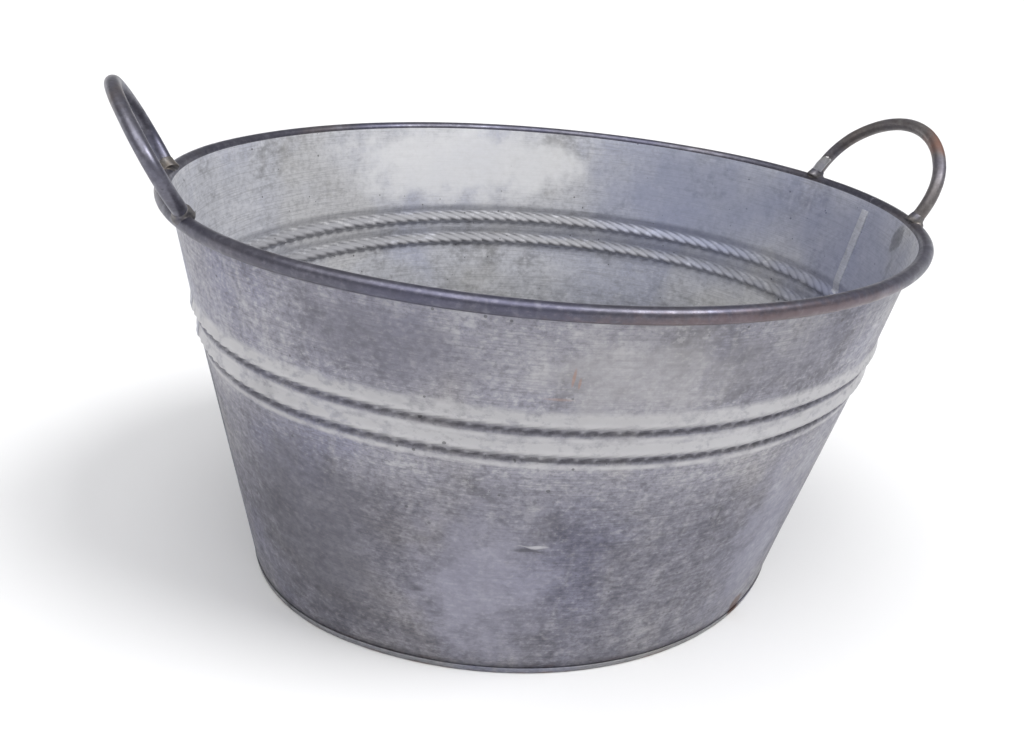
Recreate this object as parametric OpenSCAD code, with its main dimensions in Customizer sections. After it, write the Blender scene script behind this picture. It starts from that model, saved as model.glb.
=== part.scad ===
// Oval wash tub of galvanised sheet steel with two fixed loop handles.
// Origin: centre of the footprint, on the plane that the tub stands on.
// +X: the right handle. -Y: the front half-sheet. +Z: up.
//
// Every horizontal outline is a four-arc oval. All ovals share the same four arc centres, so
// the wall is four tangent sectors of revolution and keeps the same slope all the way round.

/* [Rim] */
// Length of the rim, between the bead's centrelines
rim_length = 580; // [540:2:640]
// Width of the rim, between the bead's centrelines
rim_width = 498; // [480:2:530]
// Height of the tub over the rolled bead
tub_height = 310; // [290:1:330]
// Diameter of the rolled bead
bead_d = 10.8; // [9:0.2:13]

/* [Wall] */
// Thickness of the galvanised sheet
sheet = 1; // [0.8:0.1:1.2]
// How far the wall's outer face stands inside the bead's centreline at the floor
base_inset = 63; // [55:0.5:70]
// The same inset at the height of the lower swage
swage_inset = 22.5; // [20:0.5:26]
// Height of the lower swage's centre
lower_swage_z = 203; // [190:1:215]
// Distance between the two swages
swage_pitch = 21; // [18:0.5:26]
// Radius of a swage's outer face
swage_r = 4.8; // [4:0.1:6]
// How far a swage stands proud of the wall
swage_proud = 2.4; // [1.5:0.1:3]

/* [Bottom] */
// Height of the bottom sheet's top face above the floor
bottom_z = 9; // [6:0.5:14]
// Height of the bottom sheet's outer fold
fold_height = 5; // [4:0.5:8]

/* [Handles] */
// Diameter of the handle rod
rod_d = 10.2; // [8:0.2:12]
// Width of a handle at its widest, between rod centrelines
handle_width = 147; // [130:1:160]
// Left handle: height of the crown above its widest line
left_crown = 47.8; // [40:0.2:60]
// Left handle: height of its widest line above the bead
left_drop = 28.2; // [20:0.2:32]
// Left handle: slant of the straight legs
left_slant = 35.5; // [20:0.5:40]
// Left handle: outward lean
left_lean = 28; // [15:1:40]
// Right handle: height of the crown above its widest line
right_crown = 62; // [55:0.2:70]
// Right handle: height of its widest line above the bead
right_drop = 8.6; // [8:0.2:14]
// Right handle: slant of the straight legs
right_slant = 3; // [1:0.5:5]
// Right handle: outward lean
right_lean = 30; // [15:1:40]
// Right handle: turn towards the front, about the centre of the rim's end arc
right_turn = -4.5; // [-8:0.5:8]

/* [Welds and strap] */
// How far the braze stands out from the rod at a handle's foot
braze_width = 2.6; // [1.5:0.1:3.5]
// How far the braze runs up the rod
braze_height = 5; // [3:0.5:8]
// Height of the torn sheet strap on the right handle's rear foot
strap_height = 15; // [10:1:20]
// How far the strap wraps round the rod, in degrees
strap_wrap = 150; // [90:5:200]

/* [Hidden] */
$fn = 96;
fine_fn = 240;

zinc = "lightslategray";
zinc_light = "silver";
iron = "dimgray";
braze = "darkkhaki";

// Four-arc oval: each arc turns through 90 degrees, and meets the next at 45 degrees.
arc_centre = (1 + sqrt(0.5)) * (rim_length - rim_width) / 2;
end_r = rim_length / 2 - arc_centre;
side_r = rim_width / 2 + arc_centre;

bead_r = bead_d / 2;
rim_z = tub_height - bead_r;
wire_r = bead_r - sheet;
curl_gap_deg = 50;

upper_swage_z = lower_swage_z + swage_pitch;
lower_slope = (base_inset - swage_inset) / lower_swage_z;
upper_slope = (swage_inset - wire_r) / (rim_z - lower_swage_z);

foot_lift = 0.9 * bead_r;
foot_z = rim_z + foot_lift;
leg_past_foot = 1.5;
half_width = handle_width / 2;
rod_sides = 24;
oval_steps = 180;
overlap = 0.01;

// Position of the wall's outer face at a height, measured outwards from the bead's centreline.
function face(z) = z < lower_swage_z
    ? -base_inset + lower_slope * z
    : -swage_inset + upper_slope * (z - lower_swage_z);

// Arc radius and arc centre offset of a handle's loop, from its crown height.
function loop_centre(crown) = (1 + sqrt(0.5)) * (half_width - crown);

// Length of a handle's straight leg below its side arc, down to the bead.
function leg_length(crown, drop, slant) =
    (drop - (half_width - loop_centre(crown)) * sin(slant)) / cos(slant);

// Distance from a handle's middle line to its leg, past the side arc by a length.
function leg_reach(crown, slant, length) =
    loop_centre(crown) + (half_width - loop_centre(crown)) * cos(slant) - length * sin(slant);

// Half of the distance between a handle's feet.
function foot_half_gap(crown, drop, slant) =
    leg_reach(crown, slant, leg_length(crown, drop, slant));

// Stations along an arc: x, y and the direction of the rod's section, in degrees.
function arc_stations(centre, radius, from, to, steps) = [
    for (i = [0:steps]) let (a = from + (to - from) * i / steps)
        [centre[0] + radius * cos(a), centre[1] + radius * sin(a), a]
];

// The handle's centreline: a leg, a side arc, the crown arc, a side arc and a leg, each
// tangent to the next.
function handle_stations(crown, drop, slant) = let (
    centre = loop_centre(crown),
    side = half_width - centre,
    length = leg_length(crown, drop, slant) + leg_past_foot,
    foot = [leg_reach(crown, slant, length), -leg_past_foot * cos(slant)],
    crown_arc = arc_stations([0, drop - centre], crown + centre, 45, 135, 18)
) concat(
    [[foot[0], foot[1], -slant]],
    arc_stations([centre, drop], side, -slant, 45, 10),
    [for (i = [1:len(crown_arc) - 2]) crown_arc[i]],
    arc_stations([-centre, drop], side, 135, 180 + slant, 10),
    [[-foot[0], foot[1], 180 + slant]]
);

// ---- the oval ----

// One sector of the oval, from the angle start through sweep. Its profile is the child, drawn
// outwards from the rim's centreline.
module oval_sector(centre, radius, start, sweep) {
    translate([centre[0], centre[1], 0]) rotate([0, 0, start])
        rotate_extrude(angle = sweep) translate([radius, 0]) children();
}

// The rear half of the oval, y > 0.
module oval_half() {
    oval_sector([arc_centre, 0], end_r, 0, 45) children();
    oval_sector([0, -arc_centre], side_r, 45, 90) children();
    oval_sector([-arc_centre, 0], end_r, 135, 45) children();
}

// The whole oval.
module oval_full() {
    oval_half() children();
    rotate([0, 0, 180]) oval_half() children();
}

// ---- profiles, drawn with x outwards from the bead's centreline and y up ----

// A flat band of sheet between two heights, with its outer face on the wall's outer face.
module band(z_low, z_high) {
    polygon([
        [face(z_low), z_low], [face(z_high), z_high],
        [face(z_high) - sheet, z_high], [face(z_low) - sheet, z_low]
    ]);
}

// Everything outside the wall's inner face, near one height.
module outside_of_wall(z) {
    reach = 2 * swage_r;
    polygon([
        [face(z - reach) - sheet, z - reach], [face(z - reach) + reach, z - reach],
        [face(z + reach) + reach, z + reach], [face(z + reach) - sheet, z + reach]
    ]);
}

// One swage: a half-round corrugation that keeps the sheet's thickness.
module swage(z) {
    intersection() {
        translate([face(z) + swage_proud - swage_r, z]) difference() {
            circle(r = swage_r);
            circle(r = swage_r - sheet);
        }
        outside_of_wall(z);
    }
}

// The rolled edge, open underneath where it meets the wall.
module curl() {
    difference() {
        translate([0, rim_z]) circle(r = bead_r);
        translate([0, rim_z]) circle(r = wire_r);
        translate([0, rim_z]) polygon([
            [0, 0], [-bead_d, -overlap],
            [-bead_d, -bead_d * tan(90 - curl_gap_deg)], [-bead_d * cos(60), -bead_d]
        ]);
    }
}

// The half-sheet's section, from the bottom fold to the rolled edge.
module wall_profile() {
    difference() {
        union() {
            band(sheet, lower_swage_z);
            band(lower_swage_z, rim_z);
        }
        for (z = [lower_swage_z, upper_swage_z])
            translate([face(z) + swage_proud - swage_r, z]) circle(r = swage_r - sheet);
    }
    swage(lower_swage_z);
    swage(upper_swage_z);
    curl();
}

// Points of the oval, at a distance outwards from the rim's centreline.
function oval_points(out) = [
    for (i = [0:oval_steps - 1]) let (
        a = 360 * i / oval_steps,
        at_end = abs(cos(a)) >= abs(sin(a)),
        centre = at_end ? [sign(cos(a)) * arc_centre, 0] : [0, -sign(sin(a)) * arc_centre],
        radius = out + (at_end ? end_r : side_r)
    ) [centre[0] + radius * cos(a), centre[1] + radius * sin(a)]
];

// An upright block with the oval's outline, between two heights.
module oval_block(out, z_low, z_high) {
    translate([0, 0, z_low]) linear_extrude(height = z_high - z_low) polygon(oval_points(out));
}

// ---- pieces ----

// Half of the body: a formed sheet from the bottom fold to the rolled edge.
module body_half() {
    oval_half() wall_profile();
}

module body_front() {
    color(zinc) rotate([0, 0, 180]) body_half();
}

module body_rear() {
    color(zinc) body_half();
}

// The bottom sheet: a flat plate, a flange inside the wall, and a fold round the wall's edge.
module bottom() {
    flange = face(sheet) - sheet;
    fold = face(fold_height) + sheet;
    color(zinc) difference() {
        union() {
            oval_block(flange, 0, bottom_z);
            oval_block(fold, 0, fold_height);
        }
        oval_block(flange - sheet, -sheet, bottom_z - sheet);
        difference() {
            oval_block(fold - sheet, sheet, bottom_z + sheet);
            oval_block(flange, 0, bottom_z + 2 * sheet);
        }
    }
}

module rim_wire() {
    color(iron) oval_full() translate([0, rim_z]) circle(r = wire_r);
}

// The rolled bead as a solid, at the +X end of the rim, which the handle feet are cut to.
module bead_solid() {
    oval_sector([arc_centre, 0], end_r, -45, 90, $fn = fine_fn)
        translate([0, rim_z]) circle(r = bead_r);
}

// Moves a handle part from the loop's own plane to the +X end of the rim.
// In the loop's plane, x runs along the rim and y runs up the handle, with y = 0 on the bead.
module on_rim(crown, drop, slant, lean) {
    chord = sqrt(end_r * end_r - pow(foot_half_gap(crown, drop, slant), 2));
    translate([arc_centre + chord, 0, foot_z]) rotate([0, lean, 0])
        rotate([90, 0, 90]) children();
}

// The bent rod, swept along its centreline.
module handle_rod(crown, drop, slant) {
    stations = handle_stations(crown, drop, slant);
    last = len(stations) - 1;
    radius = rod_d / 2;
    points = [
        for (s = stations, j = [0:rod_sides - 1]) let (turn = 360 * j / rod_sides)
            [
                s[0] + radius * cos(turn) * cos(s[2]),
                s[1] + radius * cos(turn) * sin(s[2]),
                radius * sin(turn)
            ]
    ];
    skin = [
        for (i = [0:last - 1], j = [0:rod_sides - 1]) let (next = (j + 1) % rod_sides)
            [
                i * rod_sides + j, (i + 1) * rod_sides + j,
                (i + 1) * rod_sides + next, i * rod_sides + next
            ]
    ];
    near_end = [for (j = [0:rod_sides - 1]) j];
    far_end = [for (j = [rod_sides - 1:-1:0]) last * rod_sides + j];
    polyhedron(points, concat([near_end], skin, [far_end]));
}

// A handle at the +X end of the rim, with its feet cut to the bead.
module handle(crown, drop, slant, lean, turn) {
    color(iron) difference() {
        turned(turn) on_rim(crown, drop, slant, lean) handle_rod(crown, drop, slant);
        bead_solid();
    }
}

// Turns a part at the +X end about the centre of the rim's end arc.
module turned(turn) {
    translate([arc_centre, 0, 0]) rotate([0, 0, turn]) translate([-arc_centre, 0, 0]) children();
}

module handle_left() {
    rotate([0, 0, 180]) handle(left_crown, left_drop, left_slant, left_lean, 0);
}

module handle_right() {
    handle(right_crown, right_drop, right_slant, right_lean, right_turn);
}

// A collar of braze round one foot, in the loop's own plane.
module braze_collar(crown, drop, slant) {
    radius = rod_d / 2;
    translate([foot_half_gap(crown, drop, slant), 0, 0])
        rotate([0, 0, -slant]) rotate([-90, 0, 0]) rotate_extrude($fn = fine_fn) polygon([
            [radius, -leg_past_foot], [radius + braze_width, -leg_past_foot],
            [radius + 0.8 * braze_width, leg_past_foot],
            [radius + 0.3 * braze_width, 0.6 * braze_height], [radius, braze_height]
        ]);
}

// The braze at one foot of a handle at the +X end. side_of is 0 for the +Y foot, 1 for the -Y.
module weld(crown, drop, slant, lean, turn, side_of) {
    color(braze) difference() {
        turned(turn) on_rim(crown, drop, slant, lean)
            mirror([side_of, 0, 0]) braze_collar(crown, drop, slant);
        bead_solid();
    }
}

module left_weld(side_of) {
    rotate([0, 0, 180]) weld(left_crown, left_drop, left_slant, left_lean, 0, side_of);
}

module right_weld(side_of) {
    weld(right_crown, right_drop, right_slant, right_lean, right_turn, side_of);
}

module weld_left_front() { left_weld(0); }
module weld_left_rear() { left_weld(1); }
module weld_right_front() { right_weld(1); }
module weld_right_rear() { right_weld(0); }

// A torn strap of sheet, bent round the inner side of the right handle's rear foot.
module foot_strap() {
    color(zinc_light) turned(right_turn) on_rim(right_crown, right_drop, right_slant, right_lean)
        translate([foot_half_gap(right_crown, right_drop, right_slant), braze_height, 0])
            rotate([-90, 0, 0]) rotate([0, 0, 90 - strap_wrap / 2])
                rotate_extrude(angle = strap_wrap) translate([rod_d / 2, 0])
                    square([sheet, strap_height]);
}

body_front();
body_rear();
bottom();
rim_wire();
handle_left();
handle_right();
weld_left_front();
weld_left_rear();
weld_right_front();
weld_right_rear();
foot_strap();
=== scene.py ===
"""Oval wash tub of galvanised sheet steel: the looks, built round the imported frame.

The wall is two half-sheets with a rolled rim and two roped swages, joined by lock seams.
A bottom sheet is folded round the wall's lower edge, and two hand-bent rod handles are
brazed to the rolled rim. Everything is in metres, in the part's own frame.
"""

import logging
import math
from dataclasses import dataclass, field, replace
from enum import Enum

import bmesh
import bpy
from mathutils import Matrix, Vector, noise


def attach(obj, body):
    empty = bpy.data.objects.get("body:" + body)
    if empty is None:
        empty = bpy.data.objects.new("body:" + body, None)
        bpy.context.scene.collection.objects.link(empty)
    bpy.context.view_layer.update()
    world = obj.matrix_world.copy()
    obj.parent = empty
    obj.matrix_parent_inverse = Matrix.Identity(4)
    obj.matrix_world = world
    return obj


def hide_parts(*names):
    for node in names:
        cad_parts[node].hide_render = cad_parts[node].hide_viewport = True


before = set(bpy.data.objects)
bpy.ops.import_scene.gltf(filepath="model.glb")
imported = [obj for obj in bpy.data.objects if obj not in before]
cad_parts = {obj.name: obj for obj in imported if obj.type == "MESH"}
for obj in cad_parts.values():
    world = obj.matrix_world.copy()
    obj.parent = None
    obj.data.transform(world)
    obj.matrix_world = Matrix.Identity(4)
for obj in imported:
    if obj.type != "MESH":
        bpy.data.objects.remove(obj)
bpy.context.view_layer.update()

LOG = logging.getLogger("wash_tub")
MM = 0.001
ROOT = "root"


class Half(Enum):
    """Which half-sheet of the wall."""

    FRONT = "front"
    REAR = "rear"


class End(Enum):
    """Which end of the tub, as the sign of its X."""

    LEFT = -1
    RIGHT = 1


def smooth(x: float) -> float:
    """Eases from 0 to 1.

    Args:
        x: Position, clipped to 0..1.

    Returns:
        The eased value.
    """
    x = min(max(x, 0.0), 1.0)
    return x * x * (3 - 2 * x)


# ---------------------------------------------------------------- the tub's own geometry


@dataclass(frozen=True)
class Sector:
    """One arc of the oval: its centre, its radius at the rim and its two angles."""

    centre: Vector
    radius: float
    start: float
    end: float


@dataclass(frozen=True)
class Oval:
    """The four-arc oval that every horizontal section of the tub follows."""

    length: float = 580 * MM
    width: float = 498 * MM

    @property
    def offset(self) -> float:
        """Distance of each arc's centre from the middle."""
        return (1 + math.sqrt(0.5)) * (self.length - self.width) / 2

    @property
    def end_radius(self) -> float:
        """Radius of the two end arcs."""
        return self.length / 2 - self.offset

    @property
    def side_radius(self) -> float:
        """Radius of the front and rear arcs."""
        return self.width / 2 + self.offset

    def sector_at(self, angle: float) -> tuple[Vector, float]:
        """Finds the arc that faces a direction.

        Args:
            angle: Outward direction in radians, from 0 to 2 pi.

        Returns:
            The arc's centre and radius.
        """
        quarter = round(angle / (math.pi / 2)) % 4
        centre = (
            Vector((self.offset, 0, 0)),
            Vector((0, -self.offset, 0)),
            Vector((-self.offset, 0, 0)),
            Vector((0, self.offset, 0)),
        )[quarter]
        return centre, self.side_radius if quarter % 2 else self.end_radius

    def sectors(self, start: float, end: float) -> list[Sector]:
        """Cuts a stretch of the oval into its arcs.

        Args:
            start: First outward direction, in degrees.
            end: Last outward direction, in degrees.

        Returns:
            The arcs in order.
        """
        corners = [start, *(c for c in range(-45, 721, 90) if start < c < end), end]
        made = []
        for low, high in zip(corners[:-1], corners[1:]):
            middle = math.radians((low + high) / 2) % (2 * math.pi)
            centre, radius = self.sector_at(middle)
            made.append(Sector(centre, radius, math.radians(low), math.radians(high)))
        return made

    def place(self, point: Vector) -> tuple[float, float, Vector]:
        """Says where a point is on the oval.

        Args:
            point: Any point of the tub.

        Returns:
            Its outward direction in radians, its distance outwards from the rim's
            centreline, and the outward unit vector.
        """
        best = None
        for quarter in range(4):
            centre, radius = self.sector_at(quarter * math.pi / 2)
            away = Vector((point.x - centre.x, point.y - centre.y, 0))
            angle = math.atan2(away.y, away.x) % (2 * math.pi)
            turn = (angle - quarter * math.pi / 2 + math.pi) % (2 * math.pi) - math.pi
            if best is None or abs(turn) < best[0] - 1e-9:
                best = (abs(turn), angle, away.length - radius, away.normalized())
        return best[1], best[2], best[3]

    def arc_length(self, angle: float, out: float) -> float:
        """Measures along the oval from +X, counter-clockwise.

        Args:
            angle: Outward direction in radians, from 0 to 2 pi.
            out: Distance outwards from the rim's centreline.

        Returns:
            The length along the oval.
        """
        return sum(
            (s.radius + out) * (s.end - s.start)
            for s in self.sectors(0.0, max(math.degrees(angle), 1e-6))
        )


@dataclass(frozen=True)
class Swage:
    """A roped swage: a swell whose underside is rolled into slanting strands."""

    height: float
    proud: float = 2.4 * MM
    groove: float = 1.8 * MM
    swell: float = 9.5 * MM
    crest: float = 1.0 * MM
    root: float = -4.2 * MM
    foot: float = -7.0 * MM
    strand_pitch: float = 11.6 * MM
    strand_depth: float = 1.9 * MM
    strand_slope: float = math.radians(18)

    def bulge(self, z: float) -> float:
        """Distance that the plain swell stands out of the wall.

        Args:
            z: Height above the floor.

        Returns:
            The distance outwards.
        """
        t = z - self.height
        if t >= self.crest:
            return self.proud * smooth(1 - (t - self.crest) / self.swell)
        if t >= self.root:
            rise = smooth((t - self.root) / (self.crest - self.root))
            return (self.proud + self.groove) * rise - self.groove
        return -self.groove * smooth(1 - (self.root - t) / (self.root - self.foot))

    def strands(self, z: float, along: float, pitch: float) -> float:
        """Depth of the rope pattern, which is deepest between two strands.

        Args:
            z: Height above the floor.
            along: Length along the oval.
            pitch: Distance from strand to strand along the oval.

        Returns:
            The distance outwards, zero or less.
        """
        t = z - self.height
        window = smooth((t - self.foot) / (2.6 * MM)) * smooth((3.4 * MM - t) / (4.2 * MM))
        if window <= 0:
            return 0.0
        phase = (along - t / math.tan(self.strand_slope)) / pitch
        return -self.strand_depth * window * (1 - abs(math.sin(math.pi * phase)))


@dataclass(frozen=True)
class Section:
    """The wall's section: its outer face as a distance out from the rim's centreline."""

    rim_z: float = 304.6 * MM
    bead_r: float = 5.4 * MM
    sheet: float = 1.0 * MM
    base_inset: float = 63 * MM
    knee_inset: float = 22.5 * MM
    knee_z: float = 203 * MM
    swages: tuple[Swage, ...] = (Swage(203 * MM), Swage(224 * MM))

    @property
    def wire_r(self) -> float:
        """Radius of the wire inside the rolled rim."""
        return self.bead_r - self.sheet

    def plain(self, z: float) -> float:
        """The outer face without its swages.

        Args:
            z: Height above the floor.

        Returns:
            The distance outwards.
        """
        if z < self.knee_z:
            return -self.base_inset + (self.base_inset - self.knee_inset) * z / self.knee_z
        share = (z - self.knee_z) / (self.rim_z - self.knee_z)
        return -self.knee_inset + (self.knee_inset - self.wire_r) * share

    def face(self, z: float) -> float:
        """The outer face with the swell of its swages.

        Args:
            z: Height above the floor.

        Returns:
            The distance outwards.
        """
        return self.plain(z) + sum(s.bulge(z) for s in self.swages)


OVAL = Oval()
SECTION = Section()
SEAM_TURN = -5.5  # degrees, of the right-hand lock seam from +X
LEFT_SEAM = 180.0


# ---------------------------------------------------------------- mesh helpers


def finish_piece(
    bm: bmesh.types.BMesh,
    name: str,
    materials: list[bpy.types.Material],
    replaced: tuple[str, ...] = (),
) -> bpy.types.Object:
    """Turns a bmesh into a named, smooth-shaded piece that rides on the tub.

    Args:
        bm: The finished mesh, which is freed.
        name: Name of the piece.
        materials: Materials, in slot order.
        replaced: CAD nodes that the piece stands for.

    Returns:
        The new object.
    """
    for face in bm.faces:
        face.smooth = True
    mesh = bpy.data.meshes.new(name)
    bm.to_mesh(mesh)
    bm.free()
    for material in materials:
        mesh.materials.append(material)
    piece = bpy.data.objects.new(name, mesh)
    bpy.context.scene.collection.objects.link(piece)
    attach(piece, ROOT)
    if replaced:
        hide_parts(*replaced)
    LOG.info("%s: %d vertices, %d faces", name, len(mesh.vertices), len(mesh.polygons))
    return piece


def thicken(piece: bpy.types.Object, thickness: float, shell: int = 0) -> None:
    """Gives a skin its sheet thickness, against the way that its faces point.

    Args:
        piece: The skin.
        thickness: Thickness of the sheet.
        shell: How many material slots further on the new side takes its finish.
    """
    solid = piece.modifiers.new("Sheet", "SOLIDIFY")
    solid.thickness = thickness
    solid.offset = -1
    solid.use_even_offset = True
    solid.use_rim = True
    solid.material_offset = shell


def sweep(
    bm: bmesh.types.BMesh, line: list, sectors: list[Sector], spacing: float
) -> list:
    """Spins a section line round a run of the oval's arcs.

    Args:
        bm: The mesh to add to.
        line: Vertices and edges of the section at the first arc's start.
        sectors: The arcs in order.
        spacing: Distance between two stations.

    Returns:
        Vertices and edges of the section at the end.
    """
    last = line
    for arc in sectors:
        turn = arc.end - arc.start
        made = bmesh.ops.spin(
            bm,
            geom=last,
            cent=arc.centre,
            axis=(0, 0, 1),
            angle=turn,
            steps=max(2, round(arc.radius * turn / spacing)),
        )
        last = made["geom_last"]
    return last


def at_sector(arc: Sector) -> Matrix:
    """Moves a section drawn in the XZ plane, with X outwards, to an arc's start.

    Args:
        arc: The arc.

    Returns:
        The transform.
    """
    turn = Matrix.Rotation(arc.start, 4, "Z")
    return Matrix.Translation(arc.centre) @ turn @ Matrix.Translation((arc.radius, 0, 0))


def section_line(bm: bmesh.types.BMesh, points: list[tuple[float, float, int]]) -> list:
    """Draws an open line by extruding one vertex, then cuts each stretch evenly.

    Args:
        bm: The mesh to add to.
        points: Each corner's X and Z, and how many cuts come before it.

    Returns:
        The line's vertices.
    """
    tip = bmesh.ops.create_vert(bm, co=(points[0][0], 0, points[0][1]))["vert"][0]
    for x, z, cuts in points[1:]:
        run = (Vector((x, 0, z)) - tip.co) / (cuts + 1)
        for _ in range(cuts + 1):
            at = tip.co + run
            tip = bmesh.ops.extrude_vert_indiv(bm, verts=[tip])["verts"][0]
            tip.co = at
    return list(bm.verts)


def point_outwards(bm: bmesh.types.BMesh, sample_z: float) -> None:
    """Turns a swept skin so that its wall faces away from the tub's middle.

    Args:
        bm: The skin.
        sample_z: Height of the wall that is tested.
    """
    bm.normal_update()
    face = min(bm.faces, key=lambda f: abs(f.calc_center_median().z - sample_z))
    outward = OVAL.place(face.calc_center_median())[2]
    if face.normal.dot(outward) < 0:
        bmesh.ops.reverse_faces(bm, faces=bm.faces)


# ---------------------------------------------------------------- materials


def linear(colour: str) -> tuple[float, float, float, float]:
    """Turns an sRGB hex colour to linear.

    Args:
        colour: Six hex digits after a hash.

    Returns:
        Linear red, green, blue and alpha.
    """
    parts = [int(colour[i : i + 2], 16) / 255 for i in (1, 3, 5)]
    flat = [p / 12.92 if p <= 0.04045 else ((p + 0.055) / 1.055) ** 2.4 for p in parts]
    return (*flat, 1.0)


def add(
    tree: bpy.types.NodeTree,
    kind: str,
    inputs: dict[str | int, object],
    output: str | int = 0,
    **settings: object,
) -> bpy.types.NodeSocket:
    """Adds one node with its settings and links.

    Args:
        tree: The node tree.
        kind: The node's type name after "ShaderNode".
        inputs: Values or sockets for its inputs, by name or number.
        output: The output that is wanted, by name or number.
        **settings: Attributes to set.

    Returns:
        The wanted output of the new node.
    """
    node = tree.nodes.new("ShaderNode" + kind)
    for name, value in settings.items():
        setattr(node, name, value)
    for name, value in inputs.items():
        if isinstance(value, bpy.types.NodeSocket):
            tree.links.new(value, node.inputs[name])
        else:
            node.inputs[name].default_value = value
    return node.outputs[output]


@dataclass(frozen=True)
class Spot:
    """A soft-edged mark on the tub, a stain, scratch or rust in some places and painted
    light or shade in others: its middle and half-size in mm.
    """

    at: tuple[float, float, float]
    size: tuple[float, float, float]
    colour: str
    strength: float = 0.8
    ragged: float = 0.9
    blur: float = 0.28

    @property
    def edge(self) -> float:
        """Where the mark fades out, with its raggedness at its mean."""
        return 1.0 + 0.5 * self.ragged


@dataclass(frozen=True)
class Layer:
    """A paint that lies where one pattern, and perhaps a second, is within limits."""

    paint: str
    strength: float
    by: bpy.types.NodeSocket
    low: float = 0.0
    high: float = 1.0
    also: bpy.types.NodeSocket | None = None
    also_low: float = 0.0
    also_high: float = 1.0
    least: float = 0.0
    blend: str = "MIX"

    def share(self, tree: bpy.types.NodeTree) -> bpy.types.NodeSocket:
        """Works out how thickly the paint lies.

        Args:
            tree: The node tree.

        Returns:
            The share of the paint, from 0 to 1.
        """
        share: bpy.types.NodeSocket | float = self.strength
        limits = [(self.by, self.low, self.high, 0.0)]
        if self.also is not None:
            limits.append((self.also, self.also_low, self.also_high, self.least))
        for pattern, low, high, least in limits:
            inputs = {"Value": pattern, "From Min": low, "From Max": high, "To Min": least}
            eased = add(tree, "MapRange", inputs, interpolation_type="SMOOTHSTEP")
            share = add(tree, "Math", {0: eased, 1: share}, operation="MULTIPLY")
        return share


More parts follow.
